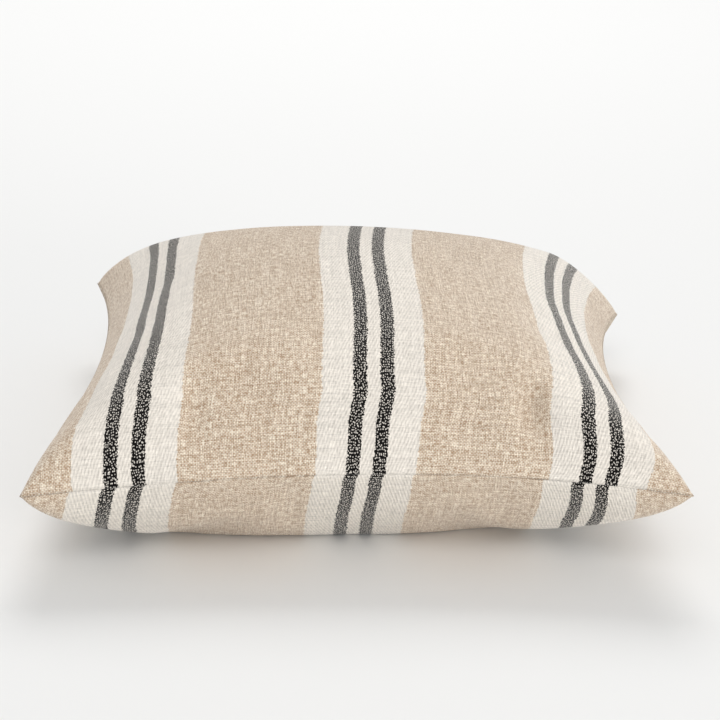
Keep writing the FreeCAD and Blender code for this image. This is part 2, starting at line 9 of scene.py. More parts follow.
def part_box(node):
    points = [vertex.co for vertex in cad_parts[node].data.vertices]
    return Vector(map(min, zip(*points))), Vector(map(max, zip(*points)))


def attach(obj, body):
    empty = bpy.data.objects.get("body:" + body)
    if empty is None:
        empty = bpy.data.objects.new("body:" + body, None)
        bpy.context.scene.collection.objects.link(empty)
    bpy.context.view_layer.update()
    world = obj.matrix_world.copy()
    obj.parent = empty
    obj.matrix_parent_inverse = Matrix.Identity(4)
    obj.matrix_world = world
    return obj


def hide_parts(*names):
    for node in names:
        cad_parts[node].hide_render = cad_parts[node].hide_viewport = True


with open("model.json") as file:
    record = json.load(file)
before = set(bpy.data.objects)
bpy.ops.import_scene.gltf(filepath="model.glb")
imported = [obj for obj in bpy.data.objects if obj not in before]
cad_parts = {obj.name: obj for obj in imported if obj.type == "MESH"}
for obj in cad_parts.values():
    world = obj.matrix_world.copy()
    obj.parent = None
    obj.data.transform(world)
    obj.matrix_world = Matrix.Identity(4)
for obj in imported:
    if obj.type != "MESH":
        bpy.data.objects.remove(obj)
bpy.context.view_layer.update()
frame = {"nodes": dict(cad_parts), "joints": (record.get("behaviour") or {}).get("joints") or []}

bl_info = {
    "name": "Striped Throw Pillow",
    "version": (1, 0, 0),
    "blender": (4, 5, 0),
    "location": "3D View > Sidebar > Pillow",
    "description": "A zipped linen pillow cover with its insert, sewn, stuffed and dressed in woven stripes",
    "category": "Object",
}

MM = 0.001

# ---- what the frame says ----

JOINTS = {joint["name"]: joint for joint in frame["joints"]}
ZIP_CENTRE = Vector(JOINTS["zip_run"]["pos_m"])  # the back seam is an arc about this point
SEAM = ZIP_CENTRE.z
HALF_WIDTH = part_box("cover_front_panel")[1].x
HALF_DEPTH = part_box("cover_front_panel")[1].y
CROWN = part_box("cover_front_panel")[1].z
ZIP_RADIUS = math.hypot(HALF_WIDTH, ZIP_CENTRE.y - HALF_DEPTH)
ZIP_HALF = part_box("zip_bar_tacks")[1].x
CHAIN_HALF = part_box("zip_coil_upper")[1].x

SIDES = {"right": (1, 0), "left": (-1, 0), "back": (0, 1), "front": (0, -1)}
FACES = {"front": 1, "back": -1}  # the cover's front panel lies on top


# ---- sewing ----

THREAD_RADIUS = 0.2 * MM
THREAD_PROUD = 0.4 * MM  # how far a thread stands off the cloth
LOCK_INSET = 2.4 * MM
LOCK_SPACING = 1.5 * MM
OVERLOCK_SPACING = 0.9 * MM
OVERLOCK_PAST = 0.6 * MM  # how far it passes the raw edge
OVERLOCK_BITE = 3 * MM  # how far in from the raw edge it goes through
SEAM_TRIM = 30 * MM  # the threads stop this far short of the corners
SEAM_ROLL = 0.9 * MM  # depth at which the cloth has turned in at a seam
FILAMENT_RADIUS = 0.22 * MM
COIL_PITCH = 1.6 * MM
COIL_STEPS = 8  # points round one turn
ZIP_EASE = 4 * MM  # over which each end of the opening closes into seam
ZIP_SLOT = 0.7 * MM  # half the gap at the zip
ZIP_LIP = 0.3 * MM  # rise of the cloth's edge over that gap
ZIP_ROLL = 0.6 * MM
ZIP_HEM = 3.4 * MM
STUFFING_SHORT = 0.02  # the filling's width is this share of the cover's less than the insert's
STUFFING_CLEAR = 1.4 * MM
LABEL_STEP = 1 * MM
CURL_DOWN = 6 * MM  # a label curls in waves down and across it
CURL_ACROSS = 5 * MM
CURL_ACROSS_SHARE = 0.6

# ---- form of the filling and the folds, in shares of the half width ----

CORNER_GAIN = 4
CORNER_POWER = 4  # how closely the puff keeps to the corners
GATHER_FROM = 0.55  # spare cloth begins here
FOLD_EDGE = 0.02  # folds die away this near a seam
FOLD_SIDES = (0.45, 0.8)  # between these the side folds are weakened
ROUND_EDGE = 0.16  # the insert's edge is rounded over this share

# ---- drift of the stripes ----

BOW_FADE = 110 * MM  # how fast the bow fades towards the zip
LEAN_REACH = 60 * MM  # the underside's drift ends this far from the front seam
RIGHT_BAND = (40 * MM, 170 * MM)  # where the right group's lesser shift sets in
RIGHT_FRONT = -200 * MM  # from here to the front seam it dies away
KINK_REACH = 45 * MM  # and the kink at the front seam this far from it


# ---- sizes and colours ----

def linear(hex_colour):
    """The linear colour of an sRGB hex value."""
    shares = [int(hex_colour[at:at + 2], 16) / 255 for at in (1, 3, 5)]
    return [s / 12.92 if s <= 0.04045 else ((s + 0.055) / 1.055) ** 2.4 for s in shares]


def length(name, description, default):
    return bpy.props.FloatProperty(name=name, description=description, default=default, unit="LENGTH",
                                   precision=4)


def share(name, description, default):
    return bpy.props.FloatProperty(name=name, description=description, default=default, precision=3)


def count(name, description, default):
    return bpy.props.IntProperty(name=name, description=description, default=default)


def angle(name, description, degrees):
    return bpy.props.FloatProperty(name=name, description=description, default=math.radians(degrees),
                                   subtype="ANGLE")


def power(name, description, default):
    return bpy.props.FloatProperty(name=name, description=description, default=default, unit="POWER")


def offset(name, description, default):
    return bpy.props.FloatVectorProperty(name=name, description=description, default=default, size=3,
                                         subtype="TRANSLATION", unit="LENGTH", precision=4)


def colour(name, description, default):
    return bpy.props.FloatVectorProperty(name=name, description=description, default=linear(default), size=3,
                                         subtype="COLOR", min=0, max=1)


class PillowShape(bpy.types.PropertyGroup):
    """How the stuffed cover sits."""
    flat_width: length("Flat width", "Side of each panel between its seams, laid flat", 508 * MM)
    shoulder: angle("Shoulder angle", "Steepness of the crown at the seams", 61)
    fullness: share("Corner fullness", "How far the filling reaches into the corners", 1.65)
    belly: length("Belly", "How far the underside would bulge with no table under it", 105 * MM)
    crown: share("Crown", "Height of the crown, as a share of the cover's height over its seams", 0.945)
    lean_back: share("Lean back", "How much higher the crown is towards the back", 0.155)
    lean_right: share("Lean right", "How much higher the crown is towards the right", -0.065)
    ear_front_left: offset("Front left ear", "How far that corner has moved",
                           (12.6 * MM, -1.8 * MM, -1.1 * MM))
    ear_front_right: offset("Front right ear", "How far that corner has moved",
                            (-1.8 * MM, 1.1 * MM, 7.9 * MM))
    ear_back_left: offset("Back left ear", "How far that corner has moved",
                          (5 * MM, 0.7 * MM, -1.7 * MM))
    ear_back_right: offset("Back right ear", "How far that corner has moved",
                           (4.3 * MM, -5.8 * MM, -20.4 * MM))
    puff: length("Puff", "How far the filling plumps each corner", 9 * MM)
    hollow_right: offset("Right hollow", "Place of a soft hollow in the front slope, and its depth",
                         (131 * MM, -186 * MM, 11 * MM))
    hollow_left: offset("Left hollow", "Place of a soft hollow in the front slope, and its depth",
                        (-112 * MM, -196 * MM, 6 * MM))
    hollow_width: length("Hollow width", "Half width of the hollows", 9 * MM)
    hollow_length: length("Hollow length", "Half length of the hollows, front to back", 20 * MM)
    pull_right: offset("Right side", "Pull in, skew as a share of it, and lift",
                       (34.3 * MM, 0.077, 11.5 * MM))
    pull_left: offset("Left side", "Pull in, skew as a share of it, and lift",
                      (24.7 * MM, 0.542, -0.8 * MM))
    pull_back: offset("Back side", "Pull in, skew as a share of it, and lift",
                      (30.9 * MM, -0.297, 3.4 * MM))
    pull_front: offset("Front side", "Pull in, skew as a share of it, and lift",
                       (21.6 * MM, 0.357, 7.7 * MM))


class ClothSettings(bpy.types.PropertyGroup):
    """The cover's cloth and how it settles."""
    cells: count("Cells", "Cells across each panel", 84)
    slack_middle: share("Slack in the middle", "Spare cloth in the middle of a panel", 0.01)
    slack_seam: share("Slack at the seams", "Spare cloth gathered beside the seams", 0.08)
    stiffness: share("Stiffness", "Resistance to folding", 3.0)
    pressure: share("Pressure", "Push of the filling on the cloth", 0.3)
    hold: share("Hold", "How firmly the filling keeps its form", 0.02)
    frames: count("Frames", "Steps of settling", 24)
    fold_cells: count("Fold cells", "Widest fold that is kept, in cells", 6)
    fold_gain: share("Fold gain", "Strength of the folds", 1.0)
    fold_sides: share("Fold sides", "Share of the folds kept beside the left and right seams", 0.35)
    most: length("Most", "How far any point may settle", 5 * MM)
    thickness: length("Thickness", "Cloth thickness", 0.8 * MM)
    allowance: length("Allowance", "Seam allowance turned inside", 12 * MM)
    lip: length("Lip", "Half the gap between the two panels at a seam", 0.01 * MM)
    seam_crease: share("Seam crease", "How sharply the cloth is turned in at a seam, up to 1", 1.0)


class InsertSettings(bpy.types.PropertyGroup):
    """The cotton insert inside the cover."""
    cells: count("Cells", "Cells across each panel", 60)
    reach: share("Reach", "Its width as a share of the cover's", 0.93)
    clear: length("Clear", "Depth of the insert below the cover's surface", 2.2 * MM)
    thickness: length("Thickness", "Cloth thickness", 0.4 * MM)
    stitch: length("Stitch", "Spacing of the seam's stitches", 2.5 * MM)


class LabelSettings(bpy.types.PropertyGroup):
    """The two labels inside: one sewn to the cover's left side, one to the insert's right side."""
    width: length("Width", "Flat width", 25 * MM)
    height: length("Height", "Flat height", 20 * MM)
    thickness: length("Thickness", "Ribbon thickness", 0.4 * MM)
    curl: length("Curl", "How far the ribbon curls out of flat", 0.8 * MM)
    care_inset: length("Care inset", "From the cover's left seam to its label", 20 * MM)
    care_top: length("Care top", "Height of the label's sewn end over the seam", -1 * MM)
    insert_inset: length("Insert inset", "From the cover's right seam to the insert's label", 24 * MM)
    insert_top: length("Insert top", "Height of the label's sewn end over the seam", 4 * MM)


class WeaveSettings(bpy.types.PropertyGroup):
    """Stripes and yarns, all in real sizes."""
    yarn: length("Yarn", "Spacing of the linen yarns", 1.25 * MM)
    twill_across: length("Twill across", "Spacing of the twill lines across the cloth", 2.6 * MM)
    twill_along: length("Twill along", "Spacing of the twill lines along the cloth", 7.5 * MM)
    dash_width: length("Dash width", "Width of the short flecks of thicker yarn", 1.0 * MM)
    dash_length: length("Dash length", "Length of the short flecks", 6 * MM)
    slub_width: length("Slub width", "Width of the long slubs", 1.8 * MM)
    slub_length: length("Slub length", "Length of the long slubs", 60 * MM)
    ragged: length("Ragged", "How unevenly the weft turns back at a stripe's edge", 1.3 * MM)
    dot_pitch: length("Dot pitch", "Spacing of the pale dots where the weft crosses a black stripe", 1.6 * MM)
    dot_core: share("Dot core", "Share of the pitch within which a dot is all pale", 0.16)
    dot_edge: share("Dot edge", "Share of the pitch at which a dot has faded out", 0.33)
    fuzz: share("Fuzz", "Sheen of the loose fibres", 0.5)
    repeat: length("Repeat", "From one group of stripes to the next", 178 * MM)
    white: length("White", "Width of the white band on each side of a group", 23 * MM)
    black: length("Black", "Width of a black stripe", 10 * MM)
    middle: length("Middle", "Width of the white stripe between two black ones", 10 * MM)
    bow_place: length("Bow place", "Where the bow of the stripes is widest, from the middle", -115 * MM)
    crown_shift: length("Crown shift", "How far right the stripes sit where the bow is widest", 20 * MM)
    front_shift: length("Front shift", "How far right the stripes sit at the front seam", 3 * MM)
    back_edge_shift: length("Back edge shift", "How far right the stripes sit towards the zip", 9 * MM)
    right_less: length("Right less", "How much less the right group is shifted", 7 * MM)
    seam_kink: length("Seam kink", "How much further right the middle stripes meet the front seam", 3 * MM)
    underside_shift: offset("Underside shift", "Back panel's stripes at the front seam: right, bow and skew",
                            (5 * MM, 5.7 * MM, -1.8 * MM))
    underside_lean: share("Underside lean", "Their drift to the left, as a share of the cloth's length", 0.07)
    underside_fan: share("Underside fan", "How much faster the right ones drift than the middle ones", 0.095)
    tan_yarn: colour("Tan yarn", "Natural linen weft", "#C6A586")
    cream_yarn: colour("Cream yarn", "Half-bleached linen warp", "#F1E7D6")
    white_yarn: colour("White yarn", "Bleached cotton", "#E6DFD5")
    black_yarn: colour("Black yarn", "Dyed cotton", "#0B0A09")


class StudioSettings(bpy.types.PropertyGroup):
    """Floor, lights and camera."""
    floor: colour("Floor", "Paper sweep", "#ECECEB")
    sweep: length("Sweep", "Side of the paper", 40)
    back: power("Back", "High soft box behind", 84)
    front: power("Front", "High soft box in front", 56)
    low: power("Low", "Low soft box in front", 36)
    sky: share("Sky", "Brightness of the white studio round it", 0.6)
    distance: length("Distance", "From the camera to what it looks at", 1.613)
    elevation: angle("Elevation", "Camera angle above the floor", 20.1)
    turn: angle("Turn", "Camera angle round the pillow", -0.316)
    roll: angle("Roll", "Tilt of the camera about its own line of sight", 1.208)
    aim: offset("Aim", "What the camera looks at", (6.8 * MM, 0, 84.4 * MM))
    lens: bpy.props.FloatProperty(name="Lens", description="Focal length", default=98.6, unit="CAMERA")


# ---- form ----

def crown_profile(flat, shoulder):
    """Plan share and height share along a round crown, from -1 to 1 of its cloth length."""
    turn = flat * shoulder
    rise = (np.cos(turn) - math.cos(shoulder)) / (1 - math.cos(shoulder))
    return np.sin(turn) / math.sin(shoulder), np.clip(rise, 0, 1)


def smooth_step(low, high, value):
    t = np.clip((value - low) / (high - low), 0, 1)
    return t * t * (3 - 2 * t)


def zip_seam(x):
    """Points of the back seam at each x."""
    y = ZIP_CENTRE.y - np.sqrt(ZIP_RADIUS ** 2 - x ** 2)
    return np.stack([x, y, np.full_like(x, SEAM)], -1)


def seam_sheet(shape, across, along):
    """The soft surface through the four seams, at plan shares from -1 to 1."""
    ears = {(-1, -1): shape.ear_front_left, (1, -1): shape.ear_front_right,
            (-1, 1): shape.ear_back_left, (1, 1): shape.ear_back_right}
    sheet = np.zeros(across.shape + (3,))
    for (sx, sy), ear in ears.items():
        corner = np.array([sx * HALF_WIDTH, sy * HALF_DEPTH, SEAM]) + np.array(ear)
        sheet += ((1 + sx * across) / 2 * (1 + sy * along) / 2)[..., None] * corner
    for side, (dx, dy) in SIDES.items():
        pull, skew, lift = getattr(shape, "pull_" + side)
        near = dx * across + dy * along
        beside = along if dx else across
        weight = (1 + near) / 2 * (1 - beside ** 2)
        sheet[..., 0] -= weight * (1 + skew * beside) * dx * pull
        sheet[..., 1] -= weight * (1 + skew * beside) * dy * pull
        sheet[..., 2] += weight * lift
    return sheet


def pillow_form(shape, across_flat, along_flat, face):
    """Where a point of a panel lies, from its flat shares, before the cloth settles."""
    across, rise_x = crown_profile(across_flat, shape.shoulder)
    along, rise_y = crown_profile(along_flat, shape.shoulder)
    k = shape.fullness
    crown = 2 ** (1 / k) * rise_x * rise_y / ((rise_x + 1e-9) ** k + (rise_y + 1e-9) ** k) ** (1 / k)
    sheet = seam_sheet(shape, across, along)
    back_x = HALF_WIDTH * across
    off = zip_seam(back_x) - seam_sheet(shape, across, np.ones_like(along))
    free = smooth_step(ZIP_HALF + ZIP_EASE, HALF_WIDTH, np.abs(back_x))
    sheet += off * ((1 - free) * ((1 + along) / 2) ** 3)[..., None]
    lean = 1 + shape.lean_right * across + shape.lean_back * along
    puff = shape.puff * np.sqrt(rise_x * rise_y) * CORNER_GAIN * (across * along) ** CORNER_POWER
    if face > 0:
        sheet[..., 2] += (CROWN - SEAM) * shape.crown * crown * lean + puff
    else:
        sheet[..., 2] = np.maximum(sheet[..., 2] - shape.belly * crown - puff, 0)
    return sheet


def flat_shares(cells):
    line = np.linspace(-1, 1, cells + 1)
    return np.meshgrid(line, line, indexing="ij")


def flat_cloth(grid, half):
    """Where each point of a panel lies on its flat square of cloth, measured along the cloth."""
    places = []
    for axis in (0, 1):
        steps = np.linalg.norm(np.diff(grid, axis=axis), axis=-1)
        run = np.insert(np.cumsum(steps, axis), 0, 0, axis)
        places.append((2 * run / np.take(run, [-1], axis) - 1) * half)
    return np.stack(places, -1)


def stripe_shift(weave, flat, half, face):
    """How far a panel's stripes sit to the right of their middle, from their place on the cloth."""
    x, y = flat[..., 0], flat[..., 1]
    side = x / weave.repeat
    if face < 0:
        middle, bow, skew = weave.underside_shift
        lean, fan = weave.underside_lean, weave.underside_fan
        drift = (lean + fan * side) * np.minimum(y + half, LEAN_REACH)
        return middle - bow * side ** 2 + skew * side - drift
    crown = weave.crown_shift
    past_bow = y - weave.bow_place
    near = crown - (crown - weave.front_shift) * (past_bow / (half + weave.bow_place)) ** 2
    edge = weave.back_edge_shift
    far = edge + (crown - edge) * np.exp(-(past_bow / BOW_FADE) ** 2)
    right = smooth_step(*RIGHT_BAND, x) * smooth_step(-half, RIGHT_FRONT, y)
    kink = weave.seam_kink * (1 - side ** 2) * (1 - smooth_step(-half, KINK_REACH - half, y))
    return np.where(past_bow < 0, near, far) - weave.right_less * right + kink


def cell_faces(index, face):
    """Quads of a grid of vertex numbers, facing up for 1 and down for -1."""
    quads = np.stack([index[:-1, :-1], index[1:, :-1], index[1:, 1:], index[:-1, 1:]], -1).reshape(-1, 4)
    return quads if face > 0 else quads[:, ::-1]


def border(side):
    """Grid places round the edge, once round, starting at the front left corner."""
    last = side - 1
    return ([(i, 0) for i in range(last)] + [(last, j) for j in range(last)]
            + [(i, last) for i in range(last, 0, -1)] + [(0, j) for j in range(last, 0, -1)])


def blurred(field, reach):
    """A grid of vectors smoothed over reach cells each way."""
    steps = np.arange(-3 * reach, 3 * reach + 1)
    weights = np.exp(-0.5 * (steps / reach) ** 2)
    weights /= weights.sum()
    for axis in (0, 1):
        pad = [(0, 0)] * 3
        pad[axis] = (3 * reach, 3 * reach)
        wide = np.pad(field, pad, mode="reflect", reflect_type="odd")
        size = field.shape[axis]
        field = sum(w * np.take(wide, range(i, i + size), axis) for i, w in enumerate(weights))
    return field


def outward(grid, face):
    normal = np.cross(np.gradient(grid, axis=0), np.gradient(grid, axis=1))
    return face * normal / np.maximum(np.linalg.norm(normal, axis=-1, keepdims=True), 1e-12)


def dents(shape, grid):
    """Depth of the two soft hollows in the front slope, where the filling has given way."""
    depth = np.zeros(grid.shape[:2])
    for x, y, deep in (shape.hollow_right, shape.hollow_left):
        across = (grid[..., 0] - x) / shape.hollow_width
        along = (grid[..., 1] - y) / shape.hollow_length
        depth += deep * np.exp(-across ** 2 - along ** 2)
    return depth


def settle(shape, cloth):
    """Both panels sewn together, filled and left to settle; returns each panel's grid of points."""
    across, along = flat_shares(cloth.cells)
    forms = {name: pillow_form(shape, across, along, face) for name, face in FACES.items()}
    side = cloth.cells + 1
    top = np.arange(side * side).reshape(side, side)
    edge = np.zeros((side, side), bool)
    edge[[0, -1], :] = edge[:, [0, -1]] = True
    keep = np.concatenate([np.ones(top.size, bool), ~edge.ravel()])
    number = np.cumsum(keep) - 1
    bottom = np.where(edge, top, number[top + top.size])
    points = np.concatenate([forms["front"].reshape(-1, 3), forms["back"].reshape(-1, 3)])[keep]
    faces = np.concatenate([cell_faces(top, 1), cell_faces(bottom, -1)])
    mesh = bpy.data.meshes.new("settling")
    mesh.from_pydata(points.tolist(), [], faces.tolist())
    bag = bpy.data.objects.new("settling", mesh)
    bpy.context.scene.collection.objects.link(bag)

    # the seams are held still, and spare cloth is gathered beside them
    reach = np.maximum(np.abs(across), np.abs(along)).ravel()
    gathered = smooth_step(GATHER_FROM, 1.0, np.concatenate([reach, reach])[keep])
    held_group = bag.vertex_groups.new(name="held")
    slack_group = bag.vertex_groups.new(name="slack")
    for place, weight in enumerate(gathered.tolist()):
        held_group.add([place], 1.0 if weight == 1 else cloth.hold, "REPLACE")
        slack_group.add([place], weight, "REPLACE")
    modifier = bag.modifiers.new("cloth", "CLOTH")
    rules = modifier.settings
    rules.quality = 6
    rules.mass = 0.001
    rules.tension_stiffness = rules.compression_stiffness = 20
    rules.shear_stiffness = 6
    rules.bending_stiffness = cloth.stiffness
    rules.air_damping = 2
    rules.vertex_group_mass = held_group.name
    rules.vertex_group_shrink = slack_group.name
    rules.shrink_min = -cloth.slack_middle
    rules.shrink_max = -cloth.slack_seam
    rules.use_pressure = True
    rules.uniform_pressure_force = cloth.pressure
    rules.effector_weights.gravity = 0
    modifier.collision_settings.use_collision = False
    modifier.point_cache.frame_start = 1
    modifier.point_cache.frame_end = cloth.frames
    for moment in range(1, cloth.frames + 1):
        bpy.context.scene.frame_set(moment)
    settled = bag.evaluated_get(bpy.context.evaluated_depsgraph_get()).data
    moved = np.zeros(points.size)
    settled.vertices.foreach_get("co", moved)
    moved = moved.reshape(-1, 3)
    bpy.data.objects.remove(bag)
    bpy.context.scene.frame_set(1)

    # the filling keeps the overall form, so only the folds are taken over
    grids = {}
    for name, index in (("front", top), ("back", bottom)):
        drift = moved[index] - forms[name]
        folds = (blurred(drift, 1) - blurred(drift, cloth.fold_cells)) * cloth.fold_gain
        far = np.linalg.norm(folds, axis=-1, keepdims=True)
        folds *= cloth.most * np.tanh(far / cloth.most) / np.maximum(far, 1e-9)
        fade = smooth_step(0, FOLD_EDGE, 1 - np.maximum(np.abs(across), np.abs(along)))
        fade *= 1 - (1 - cloth.fold_sides) * smooth_step(*FOLD_SIDES, np.abs(across))
        grid = forms[name] + folds * fade[..., None]
        if name == "front":
            grid -= outward(grid, 1) * dents(shape, grid)[..., None]
        else:
            grid[..., 2] = np.where(forms[name][..., 2] > 0, np.maximum(grid[..., 2], 0), 0)
        grids[name] = grid
    return grids


# ---- mesh ----

def new_piece(name, points, faces, flat=None):
    """A mesh object; flat gives each point its place on the flat cloth, in metres."""
    mesh = bpy.data.meshes.new(name)
    mesh.from_pydata(np.asarray(points, float).tolist(), [], np.asarray(faces).tolist())
    piece = bpy.data.objects.new(name, mesh)
    bpy.context.scene.collection.objects.link(piece)
    if flat is not None:
        layer = mesh.uv_layers.new(name="flat_cloth")
        corner = np.zeros(len(mesh.loops), int)
        mesh.loops.foreach_get("vertex_index", corner)
        layer.data.foreach_set("uv", np.asarray(flat, float)[corner].ravel())
    mesh.polygons.foreach_set("use_smooth", np.ones(len(mesh.polygons), bool))
    return piece


def pick_out(piece):
    """Selects the piece alone, for an operator to act on."""
    bpy.ops.object.select_all(action="DESELECT")
    piece.select_set(True)
    bpy.context.view_layer.objects.active = piece


def finish_modifiers(piece):
    """Applies all the piece's modifiers."""
    pick_out(piece)
    for modifier in list(piece.modifiers):
        bpy.ops.object.modifier_apply(modifier=modifier.name)


def thicken(piece, thickness):
    """Gives a surface its cloth's thickness, inwards."""
    wall = piece.modifiers.new("wall", "SOLIDIFY")
    wall.thickness = thickness
    wall.offset = -1
    finish_modifiers(piece)


def at_zip(points):
    """1 where a seam point lies on the zip opening, 0 elsewhere."""
    on_back = points[:, 1] > HALF_DEPTH / 2
    return np.where(on_back, 1 - smooth_step(ZIP_HALF - ZIP_EASE, ZIP_HALF, np.abs(points[:, 0])), 0)


def cover_panel(name, grid, shape, cloth, weave, face):
    """One cover panel with its rolled edge and its seam allowance turned in."""
    half = shape.flat_width / 2
    flat = flat_cloth(grid, half)
    flat[..., 0] -= stripe_shift(weave, flat, half, face)
    flat = flat.reshape(-1, 2)
    index = np.arange(len(flat)).reshape(grid.shape[:2])
    loop = [int(index[place]) for place in border(len(grid))]
    points = grid.reshape(-1, 3).copy()
    seam = points[loop]
    opening = at_zip(seam)[:, None]
    up = np.array([0, 0, face])
    points[loop] = seam + up * (cloth.lip * (1 - opening) + (ZIP_SLOT + ZIP_LIP) * opening)
    centre = np.array([0, 0, SEAM])
    rings = []
    for depth, zip_depth in ((SEAM_ROLL, ZIP_ROLL), (cloth.allowance, ZIP_HEM)):
        inward = depth * (1 - opening) + zip_depth * opening
        ring = seam + (centre - seam) * inward / HALF_WIDTH
        ring[:, 2] = seam[:, 2] + face * (cloth.lip * (1 - opening) + ZIP_SLOT * opening)[:, 0]
        rings.append((ring, inward))
    faces = [cell_faces(index, face)]
    start, previous = len(points), np.array(loop)
    flats = [flat]
    for ring, inward in rings:
        numbers = np.arange(start, start + len(ring))
        start += len(ring)
        points = np.concatenate([points, ring])
        flats.append(flat[loop] * (1 + inward / half))
        quads = np.stack([previous, numbers, np.roll(numbers, -1), np.roll(previous, -1)], -1)
        faces.append(quads if face > 0 else quads[:, ::-1])
        previous = numbers
    piece = new_piece(name, points, np.concatenate(faces), np.concatenate(flats))
    ends = np.zeros(2 * len(piece.data.edges), int)
    piece.data.edges.foreach_get("vertices", ends)
    on_seam = np.isin(ends, loop).reshape(-1, 2).all(1)
    creases = piece.data.attributes.new("crease_edge", "FLOAT", "EDGE")
    creases.data.foreach_set("value", np.where(on_seam, cloth.seam_crease, 0))
    smooth = piece.modifiers.new("smooth", "SUBSURF")
    smooth.levels = smooth.render_levels = 1
    thicken(piece, cloth.thickness)
    return piece


def sample(grid, across, along):
    """Points of a grid at shares from -1 to 1, between its own points."""
    last = len(grid) - 1
    x = np.clip((across + 1) / 2 * last, 0, last - 1e-6)
    y = np.clip((along + 1) / 2 * last, 0, last - 1e-6)
    i, j = x.astype(int), y.astype(int)
    fx, fy = (x - i)[..., None], (y - j)[..., None]
    return ((grid[i, j] * (1 - fx) + grid[i + 1, j] * fx) * (1 - fy)
            + (grid[i, j + 1] * (1 - fx) + grid[i + 1, j + 1] * fx) * fy)


def inner_forms(shape, reach, depth, cells):
    """Both halves of a form inside the cover: reach of its width, and depth below its surface."""
    across, along = flat_shares(cells)
    halves = {name: sample(blurred(grids[name], 1), across * reach, along * reach) for name in FACES}
    middle = (halves["front"] + halves["back"]) / 2
    edge = np.clip((1 - np.maximum(np.abs(across), np.abs(along))) / ROUND_EDGE, 0, 1)
    opening = np.sqrt(1 - (1 - edge) ** 2)[..., None]
    for name, face in FACES.items():
        low = depth + (dents(shape, halves[name])[..., None] if face > 0 else 0)
        inside = halves[name] - outward(halves[name], face) * low
        halves[name] = middle + (inside - middle) * opening
    return halves


def dress(piece, material, cad_node):
    """Gives a piece of the pillow its material, puts it under the pillow's body and hides the CAD node it
    stands for.
    """
    piece.data.materials.append(material)
    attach(piece, "pillow")
    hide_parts(cad_node)


def tube(name, points, radius):
    """A round thread along a line of points."""
    line = bpy.data.curves.new(name, "CURVE")
    line.dimensions = "3D"
    line.bevel_depth = radius
    line.bevel_resolution = 1  # a few sides are enough for a thread
    line.use_fill_caps = True
    spline = line.splines.new("POLY")
    spline.points.add(len(points) - 1)
    spline.points.foreach_set("co", np.hstack([points, np.ones((len(points), 1))]).ravel())
    piece = bpy.data.objects.new(name, line)
    bpy.context.scene.collection.objects.link(piece)
    pick_out(piece)
    bpy.ops.object.convert(target="MESH")
    return bpy.context.object


def sew(name, points, cad_node):
    """A cotton thread along a line of points."""
    dress(tube(name, points, THREAD_RADIUS), bpy.data.materials["cotton_thread"], cad_node)


def resampled(line, spacing, trim=0):
    """Points every spacing along a line of points, trimmed at its ends."""
    run = np.insert(np.cumsum(np.linalg.norm(np.diff(line, axis=0), axis=1)), 0, 0)
    at = np.arange(trim, run[-1] - trim, spacing)
    return np.stack([np.interp(at, run, line[:, k]) for k in range(3)], -1)


def whipped(line, height):
    """A thread that passes over and under a line of points in turn."""
    line[::2, 2] += height
    line[1::2, 2] -= height
    return line


def seam_line(side, inset, spacing, trim):
    """Evenly spaced points along one sewn side, inset into the seam allowance and trimmed at its ends."""
    grid = grids["front"]
    line = {"front": grid[:, 0], "left": grid[0, :], "right": grid[-1, :], "back": grid[:, -1]}[side]
    points = resampled(line, spacing, trim)
    dx, dy = SIDES[side]
    points[:, 0] -= dx * inset
    points[:, 1] -= dy * inset
    return points


def coil_turns(name, start):
    """Points round a zip coil's turns, within the place that the plain coil holds."""
    rod = np.array([corner.co for corner in frame["nodes"][name].data.vertices])
    inset = np.hypot(rod[:, 0], ZIP_CENTRE.y - rod[:, 1]) - ZIP_RADIUS
    height = rod[:, 2]
    reach = (np.ptp(inset) / 2 - FILAMENT_RADIUS, np.ptp(height) / 2 - FILAMENT_RADIUS)
    along = np.arange(-CHAIN_HALF, CHAIN_HALF, COIL_PITCH / COIL_STEPS) / ZIP_RADIUS
    phase = start + 2 * math.pi * np.arange(len(along)) / COIL_STEPS
    radius = ZIP_RADIUS + (inset.max() + inset.min()) / 2 + reach[0] * np.cos(phase)
    up = (height.max() + height.min()) / 2 + reach[1] * np.sin(phase)
    return np.stack([radius * np.sin(along), ZIP_CENTRE.y - radius * np.cos(along), up], -1)


# ---- materials ----

def node(tree, kind, inputs=(), **settings):
    """Adds one shader node; an input is a value, a socket, or a node whose first output is taken."""
    made = tree.nodes.new("ShaderNode" + kind)
    for name, value in settings.items():
        setattr(made, name, value)
    for key, value in inputs.items() if isinstance(inputs, dict) else enumerate(inputs):
        if isinstance(value, bpy.types.Node):
            value = value.outputs[0]
        if isinstance(value, bpy.types.NodeSocket):
            tree.links.new(value, made.inputs[key])
        elif value is not None:
            made.inputs[key].default_value = value
    return made


def new_material(name):
    """An empty material and its node tree."""
    material = bpy.data.materials.new(name)
    material.use_nodes = True
    material.node_tree.nodes.clear()
    return material, material.node_tree


def surfaced(material, finish):
    """The material with one Principled shader, whose inputs are this finish's values and links."""
    shader = node(material.node_tree, "BsdfPrincipled", finish)
    node(material.node_tree, "OutputMaterial", {"Surface": shader})
    return material


